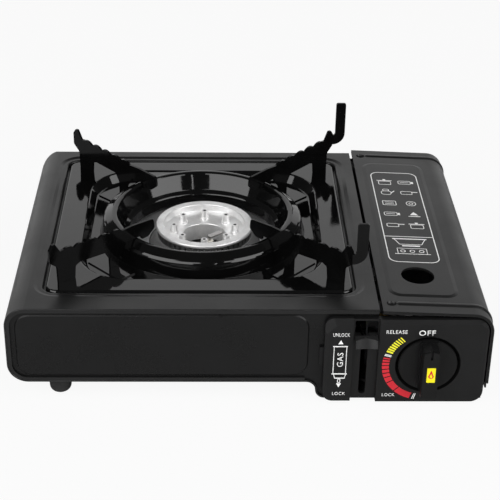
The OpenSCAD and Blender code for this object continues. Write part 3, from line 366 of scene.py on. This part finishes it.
assign(plain_metal("steel_tip", (0.5, 0.49, 0.48), gloss=0.3), "electrode")
# painted shade: the brass is darkened to stand in for the shade inside the body under the cover
assign(plain_metal("turned_brass_painted_shade", (0.5, 0.34, 0.13), gloss=0.4, brushed=(10, 10, 1)),
       "valve_spindle", "gas_pipe", "gas_jet")
assign(moulded_plastic("cam_nylon", level=0.62, gloss=0.4, grain=1500),
       "ignition_cam", "igniter_plunger")
assign(soft_rubber("foot_rubber"), "foot_front_left", "foot_rear_left", "foot_front_right",
       "foot_rear_right", "seat_seal", "cover_buffers")
assign(glazed_ceramic("insulator_glaze"), "electrode_insulator")
assign(flexible_sleeve("wire_sleeve"), "ignition_wire")

white_ink = screen_ink("white_ink", (0.95, 0.95, 0.94))
yellow_ink = screen_ink("yellow_ink", (0.98, 0.93, 0.04))
red_ink = screen_ink("red_ink", (0.68, 0.02, 0.035))
sticker_yellow = screen_ink("sticker_yellow", (0.98, 0.86, 0.01), gloss=0.32)


# ---------- Modelling helpers ----------

LETTER_SPACING = 1.12


def start(add, **options):
    """Adds a primitive with nothing else selected."""
    bpy.ops.object.select_all(action="DESELECT")
    add(**options)
    return bpy.context.object


def editing(piece, mode="FACE"):
    """Opens a piece for shaping, with faces, edges or vertices to be picked."""
    bpy.context.view_layer.objects.active = piece
    bpy.ops.object.mode_set(mode="EDIT")
    bpy.ops.mesh.select_mode(type=mode)


def done():
    bpy.ops.object.mode_set(mode="OBJECT")


def settle(piece):
    """Puts a piece's place, turn and size into its mesh."""
    bpy.ops.object.select_all(action="DESELECT")
    piece.select_set(True)
    bpy.context.view_layer.objects.active = piece
    bpy.ops.object.transform_apply(location=True, rotation=True, scale=True)


def join(name, parts):
    """Makes one piece of several and names it."""
    bpy.ops.object.select_all(action="DESELECT")
    for part in parts:
        part.select_set(True)
    bpy.context.view_layer.objects.active = parts[0]
    if len(parts) > 1:
        bpy.ops.object.join()
    whole = bpy.context.object
    whole.name = name
    return whole


def thicken(piece, depth):
    """Gives a flat shape in the XY plane a small thickness upwards."""
    editing(piece)
    bpy.ops.mesh.select_all(action="SELECT")
    bpy.ops.mesh.extrude_region_move(TRANSFORM_OT_translate={"value": (0, 0, depth)})
    bpy.ops.mesh.select_all(action="SELECT")
    bpy.ops.mesh.normals_make_consistent(inside=False)
    done()


def patch(width, height, radius=0.0, x=0.0, y=0.0):
    """A flat plate with rounded corners, with its middle at (x, y)."""
    plate = start(bpy.ops.mesh.primitive_plane_add, size=1)
    plate.scale = (width, height, 1)
    settle(plate)
    if radius:
        editing(plate, "VERT")
        bpy.ops.mesh.select_all(action="SELECT")
        bpy.ops.mesh.bevel(offset=radius, segments=6, affect="VERTICES")
        done()
    plate.location = (x, y, 0)
    settle(plate)
    return plate


def stroke(x0, y0, x1, y1, line):
    """A straight printed line from one point to another."""
    length, turn = math.hypot(x1 - x0, y1 - y0), math.atan2(y1 - y0, x1 - x0)
    bar = patch(length, line)
    bar.rotation_euler = (0, 0, turn)
    bar.location = ((x0 + x1) / 2, (y0 + y1) / 2, 0)
    settle(bar)
    return bar


def strokes(rows, x=0.0, y=0.0):
    """Lines from rows of x0, y0, x1, y1 and line width in millimetres, measured from (x, y)."""
    return [stroke(x + x0 * MM, y + y0 * MM, x + x1 * MM, y + y1 * MM, line * MM)
            for x0, y0, x1, y1, line in rows]


def outline(width, height, radius, line, x=0.0, y=0.0):
    """A printed line round a rounded rectangle."""
    plate = patch(width, height, radius, x, y)
    editing(plate)
    bpy.ops.mesh.select_all(action="SELECT")
    bpy.ops.mesh.inset(thickness=line, depth=0)
    bpy.ops.mesh.delete(type="FACE")
    done()
    return plate


def polygon(corners, radius, x=0.0, y=0.0, turn=0.0, stretch=1.0):
    """A regular shape with its middle at (x, y), drawn taller or lower by stretch."""
    shape = start(bpy.ops.mesh.primitive_circle_add, vertices=corners, radius=radius,
                  fill_type="NGON")
    shape.rotation_euler = (0, 0, turn)
    settle(shape)
    shape.scale = (1, stretch, 1)
    shape.location = (x, y, 0)
    settle(shape)
    return shape


def words(text, width, height, x, y, bold, turn=0.0):
    """A word as a flat shape of just this width and height, with its middle at (x, y)."""
    made = start(bpy.ops.object.text_add)
    made.data.body = text
    made.data.resolution_u = 3
    made.data.space_character = LETTER_SPACING
    made.data.offset = bold
    bpy.ops.object.convert(target="MESH")
    shape = bpy.context.object
    xs = [vertex.co.x for vertex in shape.data.vertices]
    ys = [vertex.co.y for vertex in shape.data.vertices]
    shape.location = (-(max(xs) + min(xs)) / 2, -(max(ys) + min(ys)) / 2, 0)
    settle(shape)
    shape.scale = (width / (max(xs) - min(xs)), height / (max(ys) - min(ys)), 1)
    settle(shape)
    shape.rotation_euler = (0, 0, turn)
    shape.location = (x, y, 0)
    settle(shape)
    return shape


def labels(rows):
    """Words from rows of text, width, height, x and y in millimetres, and boldness."""
    return [words(text, width * MM, height * MM, x * MM, y * MM, bold)
            for text, width, height, x, y, bold in rows]


def printed(name, shapes, ink, to_world, body):
    """Joins flat shapes, gives them the ink's thickness and lays them where they belong."""
    whole = join(name, shapes)
    thicken(whole, INK)
    whole.matrix_world = to_world
    settle(whole)
    whole.data.materials.clear()
    whole.data.materials.append(ink)
    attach(whole, body)


def on_front(x, y, z):
    """The plane of a print that faces the front, drawn with X across and Y upwards."""
    return Matrix.Translation((x, y, z)) @ Matrix.Rotation(math.radians(90), 4, "X")


def on_cover(up):
    """A plane some way above the cover's sloping top, with X across and Y to the back."""
    slope = Matrix.Translation(LID_EDGE) @ Matrix.Rotation(LID_FALL, 4, "Y")
    return slope @ Matrix.Translation((-LID_EDGE.x, 0, up))


# ---------- Prints ----------
#
# Numbers without MM are millimetres where they are places and sizes, and degrees where they
# are angles, which run from +X towards +Z about the knob's axis.

PILOTS = 8
PILOT_CIRCLE = 23.5 * MM       # radius of the circle on which the pilot tubes stand
PILOT_TOP = 71.6 * MM
PILOT_MOUTH = 1.15 * MM        # radius

BAND_RADIUS = 26.2             # of the band's middle line, about its own centre
BAND_SHIFT = 3.7               # how far that centre lies from the knob's axis
BAND_SHIFT_ANGLE = 190         # and in which direction
BAND_HALF_WIDTH = 2.45 * MM
BAND_STEP = 3                  # angle of the band that each straight step takes
YELLOW_BARS = 8
YELLOW_START, YELLOW_PITCH = 132.2, 3.8
YELLOW_HALF_TURN, YELLOW_GROWTH = 0.85, 0.07
RED_EDGES = (168, 171.6, 175.9, 181.1, 187.2, 193.4, 200.1, 208.5, 224, 248.4)
RED_GAP = 0.75                 # left bare at each end of a red piece
WHITE_BARS = ((163.2, 164.4), (165.1, 166.3), (251.2, 252.3), (253.3, 254.5))
DIAL_WORDS = (   # text, width, height, x, z and boldness
    ("OFF", 11.6, 4.4, 122.4, 60.1, 0.012),
    ("RELEASE", 14.6, 2.9, 101.2, 60.9, 0.006),
    ("LOCK", 9.1, 2.6, 98.4, 8.2, 0.006),
)

CARTRIDGE_LINES = (   # x0, z0, x1, z1 and line width
    (57.3, 48.9, 67.7, 48.9, 0.9),   # bottom rim
    (58.2, 48.9, 58.2, 26, 0.5),     # sides
    (67, 48.9, 67, 26, 0.5),
    (57.2, 26, 68, 26, 0.9),         # top rim
    (58.6, 25.6, 59.6, 22.4, 0.5),   # shoulder
    (67.2, 25.6, 66.4, 22.4, 0.5),
    (59.2, 22.4, 66.8, 22.4, 0.8),   # neck
)
LEVER_WORDS = (
    ("UNLOCK", 11.6, 2.9, 62.9, 58.4, 0.006),
    ("LOCK", 9.2, 2.6, 63, 9.2, 0.006),
)
ARROW_RADIUS = 2.02 * MM
ARROW_STRETCH = 1.12

FRAME_X, FRAME_Y = 121.8 * MM, 21.4 * MM     # the frame's middle
FRAME_WIDTH, FRAME_LENGTH, FRAME_CORNER = 38 * MM, 149.6 * MM, 7 * MM
FRAME_LINE = 0.75 * MM
RULE_LENGTH, RULE_Y = 37 * MM, -14.2 * MM
SIGN_KINDS = ("pan", "pot", "cartridge", "cone", "box", "hotplate", "kettle")
SIGN_ROWS = 5
SIGN_START, SIGN_PITCH = 4, 18.6
SIGN_ASIDE = 8.6 * MM          # from the frame's middle to a sign's middle
SIGN_LINE = 0.55
STOVE_TOP = RULE_Y - 3.6 * MM
STOVE_LINES = (   # measured from the frame's middle and STOVE_TOP
    (-13, 0, 13, 0, 1.3),                # pan
    (-11.6, -0.6, -8.4, -8.4, 0.6),
    (11.6, -0.6, 8.4, -8.4, 0.6),
    (-8.4, -8.4, 8.4, -8.4, 0.6),
    (-6.8, -10.8, 6.8, -10.8, 1.6),      # pan support
    (-11, -14.6, 11, -14.6, 0.5),        # stove
    (-11, -14.6, -11, -23, 0.5),
    (11, -14.6, 11, -23, 0.5),
    (-13.4, -23, 13.4, -23, 0.7),
)
STOVE_KNOBS = (-7, 0, 7)
STOVE_KNOBS_Y = STOVE_TOP - 18.8 * MM
STOVE_KNOB_SIZE, STOVE_KNOB_CORNER, STOVE_KNOB_LINE = 4 * MM, 1.9 * MM, 0.6 * MM

LABEL_SHIFT = mm(0.4, 0, 0.2)  # from the knob's axis to the label's middle
FLAME_TAPER = 0.45             # how much narrower the flame gets towards its top


def band_piece(from_angle, to_angle):
    """A piece of the band beside the knob, between two angles."""
    middle = (from_angle + to_angle) / 2
    steps = max(1, round(abs(to_angle - from_angle) / BAND_STEP))
    piece = start(bpy.ops.mesh.primitive_grid_add, x_subdivisions=1, y_subdivisions=steps, size=1)
    for vertex in piece.data.vertices:
        degrees = middle + vertex.co.y * (to_angle - from_angle)
        angle = math.radians(degrees)
        shift = BAND_SHIFT * math.cos(math.radians(degrees - BAND_SHIFT_ANGLE))
        radius = (BAND_RADIUS + shift) * MM
        radius += BAND_HALF_WIDTH if vertex.co.x > 0 else -BAND_HALF_WIDTH
        vertex.co = (radius * math.cos(angle), radius * math.sin(angle), 0)
    return piece


def pilot_mouths():
    """Dark discs of painted shade at the mouths of the pilot tubes that stand in the burner."""
    mouths = []
    for i in range(PILOTS):
        angle = 2 * math.pi * i / PILOTS
        x, y = PILOT_CIRCLE * math.cos(angle), PILOT_CIRCLE * math.sin(angle)
        mouths.append(polygon(corners=16, radius=PILOT_MOUTH, x=x, y=y))
    # painted shade: a near-black ink where the tube openings fall in shade
    painted_mouth_shade = screen_ink("painted_mouth_shade", (0.012, 0.011, 0.010), gloss=0.7)
    place = Matrix.Translation((burner.x, burner.y, PILOT_TOP))
    printed("pilot_mouths", mouths, painted_mouth_shade, place, "stove")


def dial_print():
    """The band beside the knob: thin yellow bars that thicken, then red pieces that grow."""
    place = on_front(knob_axis.x, panel_face, knob_axis.z)
    yellow = []
    for i in range(YELLOW_BARS):
        middle = YELLOW_START + YELLOW_PITCH * i
        half_turn = YELLOW_HALF_TURN + YELLOW_GROWTH * i
        yellow.append(band_piece(middle - half_turn, middle + half_turn))
    red = [band_piece(low + RED_GAP, high - RED_GAP) for low, high in zip(RED_EDGES, RED_EDGES[1:])]
    white = [band_piece(low, high) for low, high in WHITE_BARS]
    printed("scale_low", yellow, yellow_ink, place, "stove")
    printed("scale_high", red, red_ink, place, "stove")
    printed("scale_marks", white, white_ink, place, "stove")
    printed("dial_words", labels(DIAL_WORDS), white_ink, on_front(0, panel_face, 0), "stove")


def arrow_head(x, y, turn=0.0):
    return polygon(corners=3, radius=ARROW_RADIUS, x=x, y=y, turn=turn, stretch=ARROW_STRETCH)


def lever_print():
    """A cartridge drawn beside the lever, with the ways the lever goes."""
    lines = strokes(CARTRIDGE_LINES)
    stem = outline(2.2 * MM, 3.4 * MM, 0.9 * MM, 0.5 * MM, 62.6 * MM, 20.1 * MM)
    upright = words("GAS", 11.8 * MM, 4.3 * MM, 62.8 * MM, 37.8 * MM, 0.008, math.radians(90))
    arrow_up = arrow_head(62.7 * MM, 51.9 * MM)
    arrow_down = arrow_head(62.6 * MM, 16.8 * MM, math.radians(180))
    shapes = [*lines, stem, upright, arrow_up, arrow_down, *labels(LEVER_WORDS)]
    printed("lever_words", shapes, white_ink, on_front(0, panel_face, 0), "stove")


def cover_print():
    """A rounded white frame on the cover with a rule: plain kitchen signs in pairs above the
    rule, and a pan on a stove below it."""
    shapes = [outline(FRAME_WIDTH, FRAME_LENGTH, FRAME_CORNER, FRAME_LINE, FRAME_X, FRAME_Y),
              patch(RULE_LENGTH, FRAME_LINE, x=FRAME_X, y=RULE_Y)]
    for i in range(2 * SIGN_ROWS):
        row, column = divmod(i, 2)
        aside = SIGN_ASIDE if column else -SIGN_ASIDE
        kind = SIGN_KINDS[i % len(SIGN_KINDS)]
        shapes += small_sign(kind, FRAME_X + aside, (SIGN_START + SIGN_PITCH * row) * MM)
    shapes += strokes(STOVE_LINES, FRAME_X, STOVE_TOP)
    shapes += [outline(STOVE_KNOB_SIZE, STOVE_KNOB_SIZE, STOVE_KNOB_CORNER, STOVE_KNOB_LINE,
                       FRAME_X + aside * MM, STOVE_KNOBS_Y) for aside in STOVE_KNOBS]
    printed("cover_frame", shapes, white_ink, on_cover(PLATFORM), "cover")


def small_sign(kind, x, y):
    """A little outline sign with its middle at (x, y), drawn in millimetres from there."""

    def ring(width, height, radius, right=0.0, up=0.0):
        return outline(width * MM, height * MM, radius * MM, SIGN_LINE * MM,
                       x + right * MM, y + up * MM)

    def bar(width, height=SIGN_LINE, right=0.0, up=0.0):
        return patch(width * MM, height * MM, 0, x + right * MM, y + up * MM)

    if kind == "pan":
        return [ring(9.6, 5.6, 1.6, -1.4), bar(4.6, 1, 5.4, 1.6)]
    if kind == "pot":
        return [ring(10.4, 6.4, 1.2, 0, -1.6), bar(12.4, 0.9, 0, 2.6), bar(2.2, 1.6, 0, 4.2)]
    if kind == "cartridge":
        return [ring(10.6, 6, 1.6, -1), bar(1.8, 3.4, 5.4), bar(7, right=-1)]
    if kind == "cone":
        peak = polygon(corners=3, radius=3.8 * MM, x=x, y=y + 0.6 * MM, stretch=0.9)
        return [peak, bar(9.4, 0.9, 0, -3.2)]
    if kind == "box":
        return [ring(11, 7.6, 1), bar(7, up=1.4), bar(7, up=-1.4)]
    if kind == "hotplate":
        return [ring(8, 8, 3.8), ring(3.6, 3.6, 1.7)]
    return [ring(8.4, 6.6, 2.6, -0.6, -0.8), ring(5.4, 3.6, 1.6, -0.6, 4),
            *strokes([(3.4, -0.6, 6.2, 2.6, 0.9)], x, y)]


def flame_shape(width, height, y):
    """A drop that rises to a point, with its middle at y: a disc whose upper half is drawn in
    and up."""
    drop = polygon(corners=20, radius=width / 2)
    for vertex in drop.data.vertices:
        rise = max(0.0, vertex.co.y) / (width / 2)
        vertex.co.x *= 1 - FLAME_TAPER * rise
        vertex.co.y *= 1 + (2 * height / width - 2) * rise ** 2
    drop.location = (0, y - height / 2 + width / 2, 0)
    settle(drop)
    return drop


def knob_sticker():
    """A yellow label on the knob's bar with a small red flame."""
    x, _, z = knob_axis + LABEL_SHIFT
    layers = (
        ("bar_label", patch(6 * MM, 12 * MM, 0.3 * MM), sticker_yellow),
        ("bar_flame", flame_shape(4 * MM, 6.6 * MM, 0.6 * MM), red_ink),
        ("bar_flame_heart", flame_shape(1.9 * MM, 3.2 * MM, -0.3 * MM), sticker_yellow),
    )
    for depth, (name, shape, ink) in enumerate(layers):
        place = on_front(x, knob_face - depth * INK, z)
        printed(name, [shape], ink, place, "control_knob")


set_camera()
pilot_mouths()
dial_print()
lever_print()
cover_print()
knob_sticker()


# ---------- Studio ----------

FLOOR_SIZE = 8
BACKDROP_STEPS = ((0, 1.0, 0.4), (0, 0.4, 1.0), (0, 0, 4.0))   # from the floor's back edge
FLOOR_GREY, BACKDROP_GREY = 0.62, 0.94
BACKDROP_FROM, BACKDROP_FULL = 0.2, 1.4   # metres back over which floor turns into backdrop
PLAIN_WHITE = 0.92       # how far the camera sees the floor as white rather than as it is lit
STUDIO_AIR = 0.06        # how bright the world is for the stove, against 1 for the camera


def studio():
    """A pale floor that runs up into a backdrop. The stove mirrors its front part as it is lit,
    and its back part as a white wall."""
    floor = start(bpy.ops.mesh.primitive_plane_add, size=FLOOR_SIZE)
    floor.name = "floor"
    editing(floor, "EDGE")
    bpy.ops.mesh.select_all(action="DESELECT")
    done()
    for edge in floor.data.edges:
        ends = [floor.data.vertices[i].co.y for i in edge.vertices]
        edge.select = min(ends) > 0   # only the back edge
    editing(floor, "EDGE")
    for step in BACKDROP_STEPS:
        bpy.ops.mesh.extrude_region_move(TRANSFORM_OT_translate={"value": step})
    done()
    f = Finish("backdrop_white", Roughness=0.9, Specular_IOR_Level=0.0)
    depth = f.node("ShaderNodeSeparateXYZ", None, {0: f.place}, out="Y")
    behind = f.spread(depth, BACKDROP_FROM, BACKDROP_FULL)
    f.set("Base Color", f.blend(behind, grey(FLOOR_GREY), grey(BACKDROP_GREY)))
    straight = f.node("ShaderNodeLightPath", out="Is Camera Ray")
    glossy = f.node("ShaderNodeLightPath", out="Is Glossy Ray")
    through = f.node("ShaderNodeLightPath", out="Is Transmission Ray")
    glow = f.node("ShaderNodeEmission", None, {"Color": grey(1.0), "Strength": 1.0})
    white = (straight + through + glossy * behind) * PLAIN_WHITE
    lit = Value(f, f.shader.outputs["BSDF"])
    mixed = f.node("ShaderNodeMixShader", None, {0: white, 1: lit, 2: glow})
    f.feed(f.tree.nodes["Material Output"].inputs["Surface"], mixed)
    floor.data.materials.append(f.material)


def light_the_stove():
    """Dim air, a wide bank of light on either side and a thin strip in front."""
    bpy.context.scene.view_settings.view_transform = "Standard"
    world = bpy.data.worlds.new("studio_air")
    bpy.context.scene.world = world
    world.use_nodes = True
    tree = world.node_tree
    sky = tree.nodes["Background"]
    ray = tree.nodes.new("ShaderNodeLightPath")
    seen = tree.nodes.new("ShaderNodeMath")
    seen.operation = "MAXIMUM"
    tree.links.new(ray.outputs["Is Camera Ray"], seen.inputs[0])
    tree.links.new(ray.outputs["Is Transmission Ray"], seen.inputs[1])
    level = tree.nodes.new("ShaderNodeMapRange")
    tree.links.new(seen.outputs[0], level.inputs["Value"])
    level.inputs["To Min"].default_value = STUDIO_AIR
    level.inputs["To Max"].default_value = 1.0
    tree.links.new(level.outputs[0], sky.inputs["Strength"])
    sky.inputs["Color"].default_value = grey(1.0)
    softbox("left_bank", azimuth=-42, elevation=34, width=1.9, height=1.5, power=30)
    softbox("right_bank", azimuth=56, elevation=34, width=1.5, height=1.5, power=24)
    softbox("front_strip", azimuth=14, elevation=20, width=0.05, height=0.6, power=0.4)


studio()
light_the_stove()
